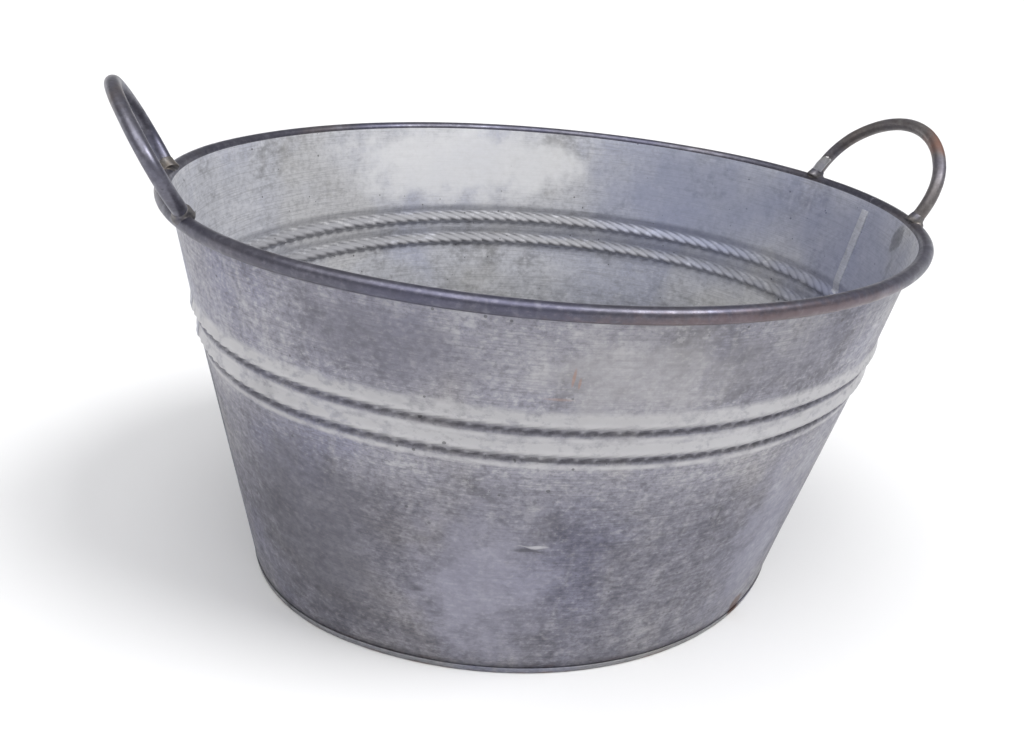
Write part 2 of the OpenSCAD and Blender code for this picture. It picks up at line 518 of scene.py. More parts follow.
@dataclass(frozen=True)
class WeatheredZinc:
    """Hot-dip galvanised steel that has weathered outdoors.

    The spangle has gone: the zinc has a dull, patchy grey patina with violet-blue and warm
    clouds, fine brushing round the wall, dark pinholes and a little rust where it wore off.
    It can also carry painted highlight on the swages' ridges, painted shade in their grooves
    and below them, and painted patches of light and shade.
    """

    name: str
    light: str
    middle: str
    dark: str
    violet: str
    warm: str
    cloud: float = 62.0
    brushing: float = 0.35
    pits: float = 0.6
    pit_spacing: float = 13.0
    # painted shade below the swages: the height where it is full, where it starts, and its
    # strength
    shade_low: float = 0.0
    shade_high: float = 0.0
    shade: float = 0.0
    # painted highlight on the swages' ridges, and a thinner one below each swage
    ridge_highlight: float = 0.0
    ridge_rise: float = 4 * MM
    speckle: float = 0.3
    # tint that the painted shade below the swages multiplies in
    shade_tint: str = "#b2b1b7"
    # painted shade along the swages' roped grooves: its strength, how far below each swage,
    # and how wide
    groove: float = 0.0
    groove_drop: float = 3.6 * MM
    groove_reach: float = 6.5 * MM
    rust_low: float = 0.0
    rust_high: float = 0.0
    rust: float = 0.0
    metallic: float = 0.55
    rough_low: float = 0.40
    rough_high: float = 0.66
    seed: float = 0.0
    spots: tuple[Spot, ...] = ()

    def build(self) -> bpy.types.Material:
        """Makes the material.

        Returns:
            The material.
        """
        material = bpy.data.materials.new(self.name)
        material.use_nodes = True
        tree = material.node_tree
        shader = tree.nodes["Principled BSDF"]
        where = add(tree, "TexCoord", {}, "Object")
        noises = self.noises(tree, where)
        doubled = add(tree, "Math", {0: noises["broad"], 1: 0.75}, operation="MULTIPLY")
        mottle = add(
            tree,
            "Math",
            {0: noises["fine"], 1: 0.45, 2: doubled},
            operation="MULTIPLY_ADD",
        )
        pits = self.pinholes(tree, where, noises["sparse"])
        layers = [
            *self.patina(mottle, noises),
            *self.swage_bands(tree, where, noises),
            pits,
            *self.marks(tree, where, noises),
        ]
        colour: object = linear(self.dark)
        for layer in layers:
            if layer.strength > 0:
                inputs = {0: layer.share(tree), 6: colour, 7: linear(layer.paint)}
                colour = add(
                    tree, "Mix", inputs, 2, data_type="RGBA", blend_type=layer.blend
                )
        rough = add(
            tree,
            "MapRange",
            {
                "Value": mottle,
                "From Min": 0.4,
                "From Max": 0.8,
                "To Min": self.rough_high,
                "To Max": self.rough_low,
            },
        )
        relief = noises["fine"]
        for pattern, depth in ((noises["brushed"], 0.25), (pits.share(tree), -0.8)):
            inputs = {0: pattern, 1: depth, 2: relief}
            relief = add(tree, "Math", inputs, operation="MULTIPLY_ADD")
        bump = add(
            tree, "Bump", {"Strength": 0.22, "Distance": 0.4 * MM, "Height": relief}
        )
        shader.inputs["Metallic"].default_value = self.metallic
        for name, socket in (("Base Color", colour), ("Roughness", rough), ("Normal", bump)):
            tree.links.new(socket, shader.inputs[name])
        return material

    def noises(
        self, tree: bpy.types.NodeTree, where: bpy.types.NodeSocket
    ) -> dict[str, bpy.types.NodeSocket]:
        """Adds every noise pattern of the finish.

        Args:
            tree: The node tree.
            where: Coordinates in metres.

        Returns:
            The patterns by name.
        """
        # Size of a patch along X, Y and Z in mm; shift; octaves; roughness; swirl.
        sizes = {
            "broad": ((self.cloud,) * 3, self.seed, 6.0, 0.62, 0.25),
            "fine": ((9.0, 9.0, 6.0), self.seed + 3, 5.0, 0.6, 0.0),
            "tint": ((self.cloud * 1.7,) * 3, self.seed + 7, 3.0, 0.5, 0.4),
            "brushed": ((38.0, 38.0, 0.9), self.seed + 11, 4.0, 0.6, 0.0),
            "runs": ((9.0, 9.0, 150.0), self.seed + 17, 3.0, 0.5, 0.0),
            "grain": ((4.2, 4.2, 3.2), self.seed + 51, 4.0, 0.65, 0.0),
            "patchy": ((13.0, 13.0, 8.0), self.seed + 61, 5.0, 0.7, 0.0),
            "smudge": ((13.0, 13.0, 11.0), self.seed + 37, 6.0, 0.7, 0.3),
            "sparse": ((70.0,) * 3, 23.0, 4.0, 0.55, 0.0),
            "broken": ((14.0, 14.0, 5.0), 31.0, 4.0, 0.55, 0.0),
        }
        for i, spot in enumerate(self.spots):
            patch = (max(2.0, min(spot.size) * 0.7),) * 3
            sizes[f"spot_{i}"] = (patch, 41.0 + i, 4.0, 0.55, 0.0)
        made = {}
        for name, (size, shift, detail, roughness, swirl) in sizes.items():
            scale = tuple(1.0 / (s * MM) for s in size)
            inputs = {"Vector": where, "Scale": scale, "Location": (shift,) * 3}
            placed = add(tree, "Mapping", inputs)
            inputs = {
                "Vector": placed,
                "Scale": 1.0,
                "Detail": detail,
                "Roughness": roughness,
                "Distortion": swirl,
            }
            made[name] = add(tree, "TexNoise", inputs)
        return made

    def patina(
        self, mottle: bpy.types.NodeSocket, noises: dict[str, bpy.types.NodeSocket]
    ) -> list[Layer]:
        """Lists the dull oxide's own colours, from its clouds down to its brushing.

        Args:
            mottle: The clouds with their finer mottling.
            noises: The patterns by name.

        Returns:
            The layers, from the bottom up.
        """
        return [
            Layer(self.middle, 1.0, mottle, 0.38, 0.6),
            Layer(self.light, 1.0, mottle, 0.6, 0.886),
            Layer(self.violet, 0.5, noises["tint"], 0.50, 0.70),
            Layer(self.warm, 0.45, noises["tint"], 0.48, 0.32),
            Layer(self.light, 0.30, noises["runs"], 0.56, 0.72),
            Layer(self.dark, self.speckle, noises["grain"], 0.5, 0.36),
            Layer(self.light, self.speckle, noises["grain"], 0.52, 0.66),
            Layer(self.dark, self.brushing, noises["brushed"], 0.52, 0.36),
        ]

    def swage_bands(
        self,
        tree: bpy.types.NodeTree,
        where: bpy.types.NodeSocket,
        noises: dict[str, bpy.types.NodeSocket],
    ) -> list[Layer]:
        """Lists the painted highlights on the swages' ridges and below them, the painted
        shade in their grooves, and the painted shade that darkens the wall below the swages.

        Args:
            tree: The node tree.
            where: Coordinates in metres.
            noises: The patterns by name.

        Returns:
            The layers, from the bottom up.
        """
        height = add(tree, "SeparateXYZ", {0: where}, 2)
        low, high = (swage.height for swage in SECTION.swages)
        layers = []
        # Painted highlight above each swage, a thinner painted highlight below it, and
        # painted shade in its groove.
        for strength, rise, reach, core, paint in (
            (self.ridge_highlight, self.ridge_rise, 10 * MM, 1.5 * MM, self.light),
            (0.7 * self.ridge_highlight, -9.8 * MM, 3.0 * MM, 0.4 * MM, self.light),
            (self.groove, -self.groove_drop, self.groove_reach, 1.2 * MM, self.dark),
        ):
            if strength <= 0:
                continue
            inputs = {0: height, 1: (low + high) / 2 + rise}
            from_middle = add(tree, "Math", inputs, operation="SUBTRACT")
            aside = add(tree, "Math", {0: from_middle}, operation="ABSOLUTE")
            inputs = {0: aside, 1: (high - low) / 2}
            from_band = add(tree, "Math", inputs, operation="SUBTRACT")
            nearest = add(tree, "Math", {0: from_band}, operation="ABSOLUTE")
            layers.append(
                Layer(
                    paint, strength, nearest, reach, core, noises["patchy"], 0.34, 0.6, 0.35
                )
            )
        # Painted shade that darkens the wall below the swages, towards the floor.
        layers.append(
            Layer(
                self.shade_tint,
                self.shade,
                height,
                self.shade_high,
                self.shade_low,
                noises["smudge"],
                0.36,
                0.62,
                0.5,
                "MULTIPLY",
            )
        )
        return layers

    def pinholes(
        self,
        tree: bpy.types.NodeTree,
        where: bpy.types.NodeSocket,
        sparse: bpy.types.NodeSocket,
    ) -> Layer:
        """Scatters dark pinholes of different sizes, in patches.

        Args:
            tree: The node tree.
            where: Coordinates in metres.
            sparse: Pattern that says where there are pinholes.

        Returns:
            The layer.
        """
        inputs = {"Vector": where, "Scale": 1.0 / (self.pit_spacing * MM), "Randomness": 1.0}
        cells = add(tree, "TexVoronoi", inputs, "Distance", feature="F1")
        chosen = add(tree, "SeparateColor", {0: cells.node.outputs["Color"]})
        radius = add(tree, "Math", {0: chosen, 1: 0.12}, operation="MULTIPLY")
        hole = add(tree, "Math", {0: cells, 1: radius}, operation="LESS_THAN")
        here = add(tree, "Math", {0: sparse, 1: 0.48}, operation="GREATER_THAN")
        return Layer("#4a4a4c", self.pits, hole, also=here)

    def marks(
        self,
        tree: bpy.types.NodeTree,
        where: bpy.types.NodeSocket,
        noises: dict[str, bpy.types.NodeSocket],
    ) -> list[Layer]:
        """Lists the rust at the base, and the soft-edged, broken-up marks: stains, scratches
        and rust, and painted patches of light and shade.

        Args:
            tree: The node tree.
            where: Coordinates in metres.
            noises: The patterns by name.

        Returns:
            The layers, from the bottom up.
        """
        height = add(tree, "SeparateXYZ", {0: where}, 2)
        edge = (height, self.rust_high, self.rust_low)
        layers = [Layer("#6f4a3a", self.rust, *edge, noises["broken"], 0.46, 0.66)]
        for i, spot in enumerate(self.spots):
            at = tuple(c * MM for c in spot.at)
            scale = tuple(1.0 / (s * MM) for s in spot.size)
            centred = add(tree, "VectorMath", {0: where, 1: at}, operation="SUBTRACT")
            sized = add(tree, "VectorMath", {0: centred, 1: scale}, operation="MULTIPLY")
            away = add(tree, "VectorMath", {0: sized}, "Value", operation="LENGTH")
            inputs = {0: noises[f"spot_{i}"], 1: spot.ragged, 2: away}
            torn = add(tree, "Math", inputs, operation="MULTIPLY_ADD")
            limits = (spot.edge + spot.blur, spot.edge - spot.blur)
            layers.append(Layer(spot.colour, spot.strength, torn, *limits))
        return layers


# ---------------------------------------------------------------- sub-assemblies


@dataclass
class Wall:
    """The two half-sheets: flared wall, roped swages and the rolled rim."""

    finishes: dict[str, bpy.types.Material]
    station: float = 1.6 * MM
    curl_angle: float = math.radians(305)
    curl_steps: int = 20
    swage_rows: int = 46
    swage_low: float = 191 * MM
    swage_high: float = 236 * MM
    lower_rows: int = 14
    upper_rows: int = 6
    edge_z: float = 1.2 * MM

    def build(self, half: Half) -> bpy.types.Object:
        """Makes one half-sheet.

        Args:
            half: Which half.

        Returns:
            The piece.
        """
        rear = half is Half.REAR
        start, end = (SEAM_TURN, LEFT_SEAM) if rear else (LEFT_SEAM, 360 + SEAM_TURN)
        arcs = OVAL.sectors(start, end)
        bm = bmesh.new()
        self.draw_line(bm)
        bmesh.ops.transform(bm, matrix=at_sector(arcs[0]), verts=bm.verts)
        sweep(bm, list(bm.verts) + list(bm.edges), arcs, self.station)
        bmesh.ops.remove_doubles(bm, verts=bm.verts, dist=0.05 * MM)
        point_outwards(bm, 0.1)
        self.refine_dent(bm)
        self.work_metal(bm)
        for face in bm.faces:
            middle = face.calc_center_median()
            at_rim = middle.z > SECTION.rim_z - SECTION.bead_r
            face.material_index = int(at_rim and OVAL.place(middle)[1] > -4.9 * MM)
        order = ["outside", "roll_inside", "inside", "bead"]
        piece = finish_piece(
            bm,
            f"wall_{half.value}",
            [self.finishes[key] for key in order],
            (f"body_{half.value}",),
        )
        thicken(piece, SECTION.sheet, shell=2)
        return piece

    def draw_line(self, bm: bmesh.types.BMesh) -> None:
        """Draws the section: up the outer face, and round the wire.

        Args:
            bm: The empty mesh.
        """
        lean = math.atan2(
            SECTION.knee_inset - SECTION.wire_r, SECTION.rim_z - SECTION.knee_z
        )
        touch_z = SECTION.rim_z + SECTION.wire_r * math.sin(lean)
        heights = (
            (self.edge_z, 0),
            (self.swage_low, self.lower_rows),
            (self.swage_high, self.swage_rows),
            (touch_z, self.upper_rows),
        )
        verts = section_line(bm, [(0.0, z, cuts) for z, cuts in heights])
        for vert in verts:
            vert.co.x = SECTION.face(vert.co.z)
        top = max(verts, key=lambda v: v.co.z)
        top.co.x = -SECTION.wire_r * math.cos(lean)
        bmesh.ops.spin(
            bm,
            geom=[top],
            cent=(0, 0, SECTION.rim_z),
            axis=(0, 1, 0),
            angle=self.curl_angle,
            steps=self.curl_steps,
        )

    def refine_dent(self, bm: bmesh.types.BMesh) -> None:
        """Cuts the wall finer round the crease, so that it has a shape of its own.

        Args:
            bm: The half-sheet's skin.
        """
        near = [
            e
            for e in bm.edges
            if e.calc_length() > 6 * MM
            and ((e.verts[0].co + e.verts[1].co) / 2 - CREASE.at).length < CREASE.reach
        ]
        if near:
            bmesh.ops.subdivide_edges(bm, edges=near, cuts=5, use_grid_fill=True)

    def work_metal(self, bm: bmesh.types.BMesh) -> None:
        """Rolls the strands, and adds the dents and the waviness of handled sheet.

        Args:
            bm: The half-sheet's skin.
        """
        girth = OVAL.arc_length(2 * math.pi - 1e-9, -20 * MM)
        pitch = girth / round(girth / SECTION.swages[0].strand_pitch)
        lengths: dict[int, float] = {}
        for vert in bm.verts:
            angle, _, outward = OVAL.place(vert.co)
            z = vert.co.z
            key = round(angle * 1e5)
            if key not in lengths:
                lengths[key] = OVAL.arc_length(angle, -20 * MM)
            if z < SECTION.rim_z - SECTION.bead_r:
                move = sum(s.strands(z, lengths[key], pitch) for s in SECTION.swages)
                move += CREASE.depth_at(vert.co) + self.waviness(vert.co)
                vert.co += outward * move

    @staticmethod
    def waviness(point: Vector) -> float:
        """How far handled sheet bows in or out.

        Args:
            point: A point of the wall.

        Returns:
            The distance outwards.
        """
        free = smooth(point.z / (60 * MM)) * smooth((SECTION.rim_z - point.z) / (40 * MM))
        return free * 0.7 * MM * noise.noise(point * 9.0)


@dataclass(frozen=True)
class Crease:
    """A dent in the lower front wall: a shallow dish with a sharp crease across it."""

    at: Vector = field(default_factory=lambda: Vector((-0.0819, -0.1981, 0.1229)))
    reach: float = 34 * MM
    dish: float = 1.1 * MM
    dish_radius: float = 24 * MM
    fold: float = 1.9 * MM
    fold_length: float = 11 * MM
    fold_width: float = 2.6 * MM
    fold_angle: float = math.radians(-28)

    def depth_at(self, point: Vector) -> float:
        """How far the wall is pushed in or out.

        Args:
            point: A point of the wall.

        Returns:
            The distance outwards.
        """
        away = point - self.at
        if away.length > 3 * self.dish_radius:
            return 0.0
        along, up = away.x, away.z
        u = along * math.cos(self.fold_angle) + up * math.sin(self.fold_angle)
        v = up * math.cos(self.fold_angle) - along * math.sin(self.fold_angle)
        dish = math.exp(-((away.length / self.dish_radius) ** 2))
        shape = math.exp(-((u / self.fold_length) ** 2))
        crease = shape * (v / self.fold_width) * math.exp(-((v / self.fold_width) ** 2))
        return 2.2 * self.fold * crease - self.dish * dish


CREASE = Crease()


@dataclass
class BottomSheet:
    """The flat bottom, whose edge is folded round the wall's lower edge."""

    finish: bpy.types.Material
    fold_height: float = 5.4 * MM
    plate_z: float = 8.0 * MM
    sheet: float = 1.0 * MM
    station: float = 4.0 * MM
    rings: int = 6
    ring_width: float = 14 * MM
    ring_rise: float = 0.25 * MM

    def build(self) -> bpy.types.Object:
        """Makes the bottom sheet.

        Returns:
            The piece.
        """
        bm = bmesh.new()
        self.draw_fold(bm)
        arcs = OVAL.sectors(-45, 315)
        bmesh.ops.transform(bm, matrix=at_sector(arcs[0]), verts=bm.verts)
        sweep(bm, list(bm.verts) + list(bm.edges), arcs, self.station)
        bmesh.ops.remove_doubles(bm, verts=bm.verts, dist=0.05 * MM)
        point_outwards(bm, 0.7 * self.fold_height)
        rim = [
            e
            for e in bm.edges
            if e.is_boundary and abs(e.verts[0].co.z - self.plate_z) < 0.1 * MM
        ]
        plate = bmesh.ops.contextual_create(bm, geom=rim)["faces"][0]
        for _ in range(self.rings):
            bmesh.ops.inset_region(
                bm,
                faces=[plate],
                thickness=self.ring_width,
                depth=-self.ring_rise,
                use_even_offset=True,
            )
        self.face_down(bm, plate)
        piece = finish_piece(bm, "bottom_sheet", [self.finish], ("bottom",))
        thicken(piece, self.sheet)
        return piece

    def face_down(self, bm: bmesh.types.BMesh, plate: bmesh.types.BMFace) -> None:
        """Makes the whole skin face the floor and the outside.

        Args:
            bm: The skin.
            plate: The middle face, which has to face down.
        """
        bmesh.ops.recalc_face_normals(bm, faces=bm.faces)
        bm.normal_update()
        if plate.normal.z > 0:
            bmesh.ops.reverse_faces(bm, faces=bm.faces)

    def draw_fold(self, bm: bmesh.types.BMesh) -> None:
        """Draws the skin from the fold's upper edge, under the wall, to the plate.

        Args:
            bm: The empty mesh.
        """
        plain = SECTION.plain
        top, sheet = self.fold_height, self.sheet
        section_line(
            bm,
            [
                (plain(top) + 0.75 * sheet, top, 0),
                (plain(top) + sheet, top - 0.6 * MM, 0),
                (plain(2 * MM) + sheet, 2.0 * MM, 1),
                (plain(0) + 0.9 * sheet, 1.0 * MM, 0),
                (plain(0) + 0.45 * sheet, 0.3 * MM, 0),
                (plain(0) - 0.3 * sheet, 0.0, 0),
                (plain(0) - 1.0 * sheet, 0.0, 0),
                (plain(0) - 1.6 * sheet, 0.4 * MM, 0),
                (plain(1 * MM) - 2.0 * sheet, 1.3 * MM, 0),
                (plain(6 * MM) - 2.0 * sheet, 6.2 * MM, 1),
                (plain(7 * MM) - 2.5 * sheet, 7.3 * MM, 0),
                (plain(8 * MM) - 3.6 * sheet, 7.9 * MM, 0),
                (plain(8 * MM) - 6.0 * sheet, self.plate_z, 0),
            ],
        )


@dataclass
class LockSeam:
    """A flattened lock seam down the wall, proud inside and nearly flush outside."""

    finish: bpy.types.Material
    width: float = 9.0 * MM
    inner_proud: float = 1.1 * MM
    outer_proud: float = 0.5 * MM
    buried: float = 0.2 * MM
    inner_ends: tuple[float, float] = (10.5 * MM, 298.5 * MM)
    outer_ends: tuple[float, float] = (6.0 * MM, 297.5 * MM)
    rows: int = 90

    def build(self, end: End) -> bpy.types.Object:
        """Makes the seam at one end.

        Args:
            end: Which end of the tub.

        Returns:
            The piece.
        """
        direction = SEAM_TURN if end is End.RIGHT else LEFT_SEAM
        arc = OVAL.sectors(direction, direction + 1)[0]
        bm = bmesh.new()
        self.strip(bm, self.buried - SECTION.sheet, self.inner_ends, facing_in=True)
        self.strip(bm, -self.buried, self.outer_ends, facing_in=False)
        bmesh.ops.transform(bm, matrix=at_sector(arc), verts=bm.verts)
        name = f"lock_seam_{end.name.lower()}"
        piece = finish_piece(bm, name, [self.finish])
        bevel = piece.modifiers.new("Worn edges", "BEVEL")
        bevel.width = 0.35 * MM
        bevel.segments = 2
        bevel.limit_method = "ANGLE"
        return piece

    def strip(
        self,
        bm: bmesh.types.BMesh,
        offset: float,
        ends: tuple[float, float],
        facing_in: bool,
    ) -> None:
        """Adds one strip that follows the wall's section.

        Args:
            bm: The mesh to add to.
            offset: Its back face, outwards from the wall's outer face.
            ends: Heights of its lower and upper end.
            facing_in: Whether it stands proud towards the inside.
        """
        low, high = ends
        thick = self.outer_proud + self.buried
        if facing_in:
            thick = -(self.inner_proud + self.buried)
        bar = bmesh.ops.create_cube(bm, size=1.0)["verts"]
        tall = [
            e
            for e in {e for v in bar for e in v.link_edges}
            if abs(e.verts[0].co.z - e.verts[1].co.z) > 0.5
        ]
        bmesh.ops.subdivide_edges(bm, edges=tall, cuts=self.rows)
        new = {v for f in bm.faces for v in f.verts if v.tag is False}
        for vert in new:
            share = vert.co.z + 0.5
            z = low + (high - low) * share
            side = vert.co.x + 0.5
            vert.co = Vector(
                (SECTION.face(z) + offset + thick * side, self.width * vert.co.y, z)
            )
            vert.tag = True
        if facing_in:
            bmesh.ops.reverse_faces(
                bm, faces=list({f for v in new for f in v.link_faces})
            )


@dataclass(frozen=True)
class Loop:
    """The bent shape of one handle, in its own plane: X along the rim, Y up the handle."""

    crown: float
    drop: float
    slant: float
    lean: float
    turn: float
    width: float = 147 * MM
    rod: float = 10.2 * MM
    past_foot: float = 1.5 * MM

    @property
    def centre(self) -> float:
        """Distance of a side arc's centre from the middle line."""
        return (1 + math.sqrt(0.5)) * (self.width / 2 - self.crown)

    @property
    def side(self) -> float:
        """Radius of a side arc."""
        return self.width / 2 - self.centre

    @property
    def leg(self) -> float:
        """Length of a straight leg down to the bead."""
        return (self.drop - self.side * math.sin(self.slant)) / math.cos(self.slant)

    @property
    def foot(self) -> float:
        """Distance of a foot from the middle line."""
        reach = self.centre + self.side * math.cos(self.slant)
        return reach - self.leg * math.sin(self.slant)

    def to_tub(self, end: End) -> Matrix:
        """Moves the loop's own plane to one end of the rim.

        Args:
            end: Which end.

        Returns:
            The transform.
        """
        radius = OVAL.end_radius
        chord = math.sqrt(radius**2 - self.foot**2)
        foot_z = SECTION.rim_z + 0.9 * SECTION.bead_r
        axes = Matrix.Rotation(math.pi / 2, 4, "Z") @ Matrix.Rotation(math.pi / 2, 4, "X")
        upright = Matrix.Translation((chord, 0, foot_z)) @ Matrix.Rotation(
            self.lean, 4, "Y"
        )
        about = Matrix.Translation((OVAL.offset, 0, 0)) @ Matrix.Rotation(self.turn, 4, "Z")
        whole = Matrix.Rotation(math.pi if end is End.LEFT else 0.0, 4, "Z")
        return whole @ about @ upright @ axes


LOOPS = {
    End.LEFT: Loop(47.8 * MM, 28.2 * MM, math.radians(35.5), math.radians(28), 0.0),
    End.RIGHT: Loop(
        62 * MM, 8.6 * MM, math.radians(3), math.radians(30), math.radians(-4.5)
    ),
}


@dataclass
class Handle:
    """A handle of round bar, bent by hand and brazed to the rolled rim."""

    finish: bpy.types.Material
    sides: int = 28
    unevenness: float = 0.14 * MM

    def build(self, end: End) -> bpy.types.Object:
        """Makes one handle.

        Args:
            end: Which end of the tub.

        Returns:
            The piece.
        """
        loop = LOOPS[end]
        bm = bmesh.new()
        down = Vector((-math.sin(loop.slant), -math.cos(loop.slant), 0))
        start = Vector((loop.foot, 0, 0)) + down * loop.past_foot
        ring = bmesh.ops.create_circle(
            bm, segments=self.sides, radius=loop.rod / 2, cap_ends=False
        )["verts"]
        stand = (-down).to_track_quat("Z", "Y").to_matrix().to_4x4()
        bmesh.ops.transform(bm, matrix=Matrix.Translation(start) @ stand, verts=ring)
        tip = list(bm.verts) + list(bm.edges)
        tip = self.straight(bm, tip, -down * (loop.leg + loop.past_foot))
        side_turn = math.pi / 4 + loop.slant
        tip = self.arc(bm, tip, (loop.centre, loop.drop, 0), side_turn, 16)
        tip = self.arc(bm, tip, (0, loop.drop - loop.centre, 0), math.pi / 2, 26)
        tip = self.arc(bm, tip, (-loop.centre, loop.drop, 0), side_turn, 16)
        up_again = Vector((math.sin(loop.slant), -math.cos(loop.slant), 0))
        self.straight(bm, tip, up_again * (loop.leg + loop.past_foot))
        bmesh.ops.remove_doubles(bm, verts=bm.verts, dist=0.01 * MM)
        ends = [e for e in bm.edges if e.is_boundary]
        bmesh.ops.holes_fill(bm, edges=ends, sides=0)
        bmesh.ops.recalc_face_normals(bm, faces=bm.faces)
        bm.normal_update()
        shift = 50.0 if end is End.LEFT else 90.0
        for vert in bm.verts:
            uneven = noise.noise(vert.co * 55 + Vector((shift, 0, 0)))
            vert.co += vert.normal * self.unevenness * uneven
        bmesh.ops.transform(bm, matrix=loop.to_tub(end), verts=bm.verts)
        name = f"handle_{end.name.lower()}"
        return finish_piece(bm, f"{name}_rod", [self.finish], (name,))

    @staticmethod
    def straight(bm: bmesh.types.BMesh, tip: list, run: Vector, steps: int = 4) -> list:
        """Extrudes the rod's end along a straight run.

        Args:
            bm: The rod.
            tip: Vertices and edges of its end ring.
            run: Direction and length.
            steps: Number of stretches.

        Returns:
            The new end ring.
        """
        for _ in range(steps):
            edges = [g for g in tip if isinstance(g, bmesh.types.BMEdge)]
            made = bmesh.ops.extrude_edge_only(bm, edges=edges)["geom"]
            verts = [g for g in made if isinstance(g, bmesh.types.BMVert)]
            bmesh.ops.translate(bm, verts=verts, vec=run / steps)
            kept = set(verts)
            tip = verts + [
                g
                for g in made
                if isinstance(g, bmesh.types.BMEdge) and kept.issuperset(g.verts)
            ]
        return tip

    @staticmethod
    def arc(
        bm: bmesh.types.BMesh, tip: list, centre: tuple, turn: float, steps: int
    ) -> list:
        """Spins the rod's end round a bend.

        Args:
            bm: The rod.
            tip: Vertices and edges of its end ring.
            centre: Centre of the bend.
            turn: Angle of the bend.
            steps: Number of stretches.

        Returns:
            The new end ring.
        """
        made = bmesh.ops.spin(
            bm, geom=tip, cent=centre, axis=(0, 0, 1), angle=turn, steps=steps
        )
        return made["geom_last"]


@dataclass
class BrazedFoot:
    """The lump of braze that holds one foot of a handle on the rolled rim."""

    finish: bpy.types.Material
    collar: float = 2.2 * MM
    height: float = 8.5 * MM
    sunk: float = 2.2 * MM
    saddle: Vector = field(default_factory=lambda: Vector((9.5, 6.2, 4.4)) * MM)
    saddle_rise: float = 2.6 * MM
    saddle_out: float = 1.2 * MM
    lumps: float = 0.9 * MM
    voxel: float = 0.55 * MM

    def build(self, end: End, front: bool) -> bpy.types.Object:
        """Makes the braze at one foot.

        Args:
            end: Which end of the tub.
            front: Whether it is the foot nearer the front.

        Returns:
            The piece.
        """
        loop = LOOPS[end]
        mirrored = front is (end is End.RIGHT)
        sign = -1.0 if mirrored else 1.0
        up = Vector((sign * math.sin(loop.slant), math.cos(loop.slant), 0))
        foot = Vector((sign * loop.foot, 0, 0))
        to_tub = loop.to_tub(end)
        bm = bmesh.new()
        rod_r = loop.rod / 2
        cone = bmesh.ops.create_cone(
            bm,
            cap_ends=True,
            segments=40,
            radius1=rod_r + self.collar,
            radius2=rod_r + 0.25 * MM,
            depth=self.height,
        )["verts"]
        stand = up.to_track_quat("Z", "Y").to_matrix().to_4x4()
        place = Matrix.Translation(foot + up * (self.height / 2 - self.sunk)) @ stand
        bmesh.ops.transform(bm, matrix=to_tub @ place, verts=cone)
        seat = to_tub @ foot
        _, _, outward = OVAL.place(seat)
        along = Vector((-outward.y, outward.x, 0))
        blob = bmesh.ops.create_uvsphere(bm, u_segments=24, v_segments=14, radius=1.0)
        basis = Matrix(
            (
                (*(along * self.saddle.x), 0),
                (*(outward * self.saddle.y), 0),
                (0, 0, self.saddle.z, 0),
                (0, 0, 0, 1),
            )
        ).transposed()
        seated = Vector((seat.x, seat.y, SECTION.rim_z + self.saddle_rise))
        seated += outward * self.saddle_out
        bmesh.ops.transform(
            bm, matrix=Matrix.Translation(seated) @ basis, verts=blob["verts"]
        )
        bmesh.ops.subdivide_edges(
            bm, edges=[e for e in bm.edges if e.calc_length() > 3 * MM], cuts=4
        )
        for vert in bm.verts:
            lump = self.lumps * noise.noise(vert.co * 210)
            vert.co += (vert.co - seat).normalized() * lump
        side = "front" if front else "rear"
        name = f"{end.name.lower()}_{side}"
        piece = finish_piece(
            bm, f"braze_{name}", [self.finish], (f"weld_{name}",)
        )
        melt = piece.modifiers.new("Melt together", "REMESH")
        melt.mode = "VOXEL"
        melt.voxel_size = self.voxel
        melt.use_smooth_shade = True
        soften = piece.modifiers.new("Soften", "SMOOTH")
        soften.factor = 0.6
        soften.iterations = 6
        return piece


@dataclass
class TornStrap:
    """A torn strip of sheet that still clings to the right handle's rear foot."""

    finish: bpy.types.Material
    height: float = 14.5 * MM
    wrap: float = math.radians(165)
    thickness: float = 0.7 * MM
    rise: float = 4.0 * MM

    def build(self) -> bpy.types.Object:
        """Makes the strap.

        Returns:
            The piece.
        """
        loop = LOOPS[End.RIGHT]
        bm = bmesh.new()
        radius = loop.rod / 2 + self.thickness
        line = section_line(bm, [(radius, 0.0, 0), (radius, self.height, 11)])
        bmesh.ops.rotate(
            bm, verts=line, cent=(0, 0, 0), matrix=Matrix.Rotation(-self.wrap / 2, 3, "Z")
        )
        bmesh.ops.spin(
            bm,
            geom=list(bm.verts) + list(bm.edges),
            cent=(0, 0, 0),
            axis=(0, 0, 1),
            angle=self.wrap,
            steps=30,
        )
        bmesh.ops.remove_doubles(bm, verts=bm.verts, dist=0.01 * MM)
        for vert in bm.verts:
            angle = math.atan2(vert.co.y, vert.co.x) / (self.wrap / 2)
            share = vert.co.z / self.height
            torn = 0.42 + 0.58 * smooth(0.5 + 0.9 * angle)
            torn += 0.08 * noise.noise(Vector((angle * 7, 3.0, 0)))
            curl = 1 + 0.38 * share**2 * smooth(0.2 + angle)
            vert.co = Vector((vert.co.x * curl, vert.co.y * curl, vert.co.z * torn))
        bmesh.ops.recalc_face_normals(bm, faces=bm.faces)
        bm.normal_update()
        sample = next(iter(bm.faces))
        if sample.normal.dot(sample.calc_center_median().normalized()) < 0:
            bmesh.ops.reverse_faces(bm, faces=bm.faces)
        up = Vector((math.sin(loop.slant), math.cos(loop.slant), 0))
        stand = Matrix.Rotation(-math.pi / 2, 4, "X")
        place = Matrix.Translation(Vector((loop.foot, 0, 0)) + up * self.rise) @ stand
        turn = Matrix.Rotation(math.radians(90), 4, "Z")
        bmesh.ops.transform(
            bm, matrix=loop.to_tub(End.RIGHT) @ place @ turn, verts=bm.verts
        )
        piece = finish_piece(bm, "torn_strap", [self.finish], ("foot_strap",))
        thicken(piece, self.thickness)
        return piece


# ---------------------------------------------------------------- finishes


